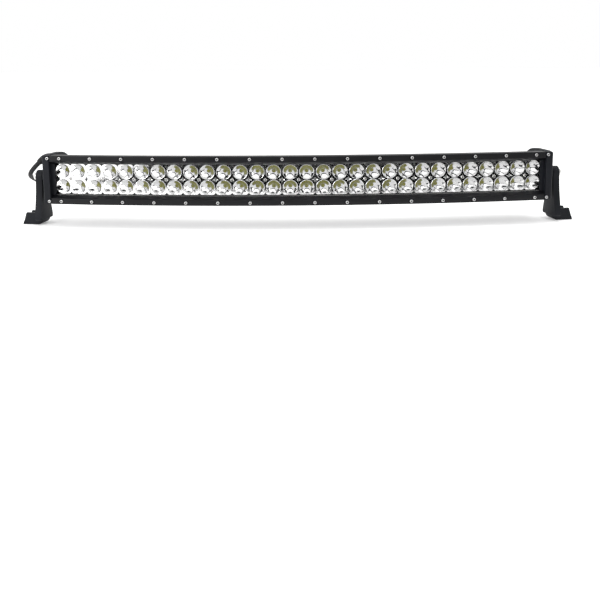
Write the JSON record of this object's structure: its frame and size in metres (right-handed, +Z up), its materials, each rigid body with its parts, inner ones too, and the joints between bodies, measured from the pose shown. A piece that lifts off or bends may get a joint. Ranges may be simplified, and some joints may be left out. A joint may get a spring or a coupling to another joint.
{
  "type": "led light bar",
  "caption": "Curved LED light bar: finned black housing, rows of chrome reflectors behind a clear lens, end caps on swivelling foot brackets, cable and plug.",
  "frame": {"origin": "on the surface that the bracket feet stand on, midway along the bar and midway between its front and its end caps' rear corners", "axes": "+X along the bar, towards the end without the cable; -Y forwards, the way the light shines; +Z up"},
  "size_m": [0.899, 0.2532, 0.1165],
  "materials": {
    "powder_coat": "satin black powder coat on extruded aluminium",
    "cast_coat": "fine-textured black powder coat on cast aluminium",
    "clear_lens": "clear polycarbonate",
    "silicone_seal": "matte silicone",
    "chrome_reflector": "vacuum-metallised chrome on moulded plastic",
    "led_board": "white solder mask on an aluminium core",
    "driver_board": "green glass-fibre laminate",
    "stainless_steel": "bright stainless steel",
    "nylon": "matte black nylon",
    "cable_rubber": "matte black rubber"
  },
  "bodies": {
    "light_bar": {"housing": "powder_coat", "top_bezel_strip": "powder_coat", "bottom_bezel_strip": "powder_coat", "lens": "clear_lens", "top_lens_seal": "silicone_seal", "bottom_lens_seal": "silicone_seal", "end_seal_left": "silicone_seal", "end_seal_right": "silicone_seal", "reflector_01": "chrome_reflector", "reflector_02": "chrome_reflector", "reflector_03": "chrome_reflector", "reflector_04": "chrome_reflector", "reflector_05": "chrome_reflector", "reflector_06": "chrome_reflector", "reflector_07": "chrome_reflector", "reflector_08": "chrome_reflector", "reflector_09": "chrome_reflector", "reflector_10": "chrome_reflector", "reflector_11": "chrome_reflector", "reflector_12": "chrome_reflector", "reflector_13": "chrome_reflector", "reflector_14": "chrome_reflector", "reflector_15": "chrome_reflector", "led_board_left": "led_board", "led_board_centre": "led_board", "led_board_right": "led_board", "driver_board": "driver_board", "end_cap_left": "cast_coat", "end_cap_right": "cast_coat", "cap_screw_left_top": "stainless_steel", "cap_screw_left_bottom": "stainless_steel", "cap_screw_right_top": "stainless_steel", "cap_screw_right_bottom": "stainless_steel", "pivot_bolt_left": "stainless_steel", "pivot_bolt_right": "stainless_steel", "pivot_washer_left": "stainless_steel", "pivot_washer_right": "stainless_steel", "cable_gland": "nylon", "plug_body": "nylon", "cable_boot": "cable_rubber", "power_cable": "cable_rubber", "plug_lock_ring": "cable_rubber"},
    "left_bracket": {"bracket_left": "cast_coat"},
    "right_bracket": {"bracket_right": "cast_coat"}
  },
  "joints": [
    {"name": "left_bracket_swivel", "type": "hinge", "parent": "light_bar", "child": "left_bracket", "pos_m": [-0.41543, 0.01099, 0.077], "axis": [0.9872, -0.1594, 0], "range_deg": [-90, 90]},
    {"name": "right_bracket_swivel", "type": "hinge", "parent": "light_bar", "child": "right_bracket", "pos_m": [0.41543, 0.01099, 0.077], "axis": [0.9872, 0.1594, 0], "range_deg": [-90, 90]}
  ]
}
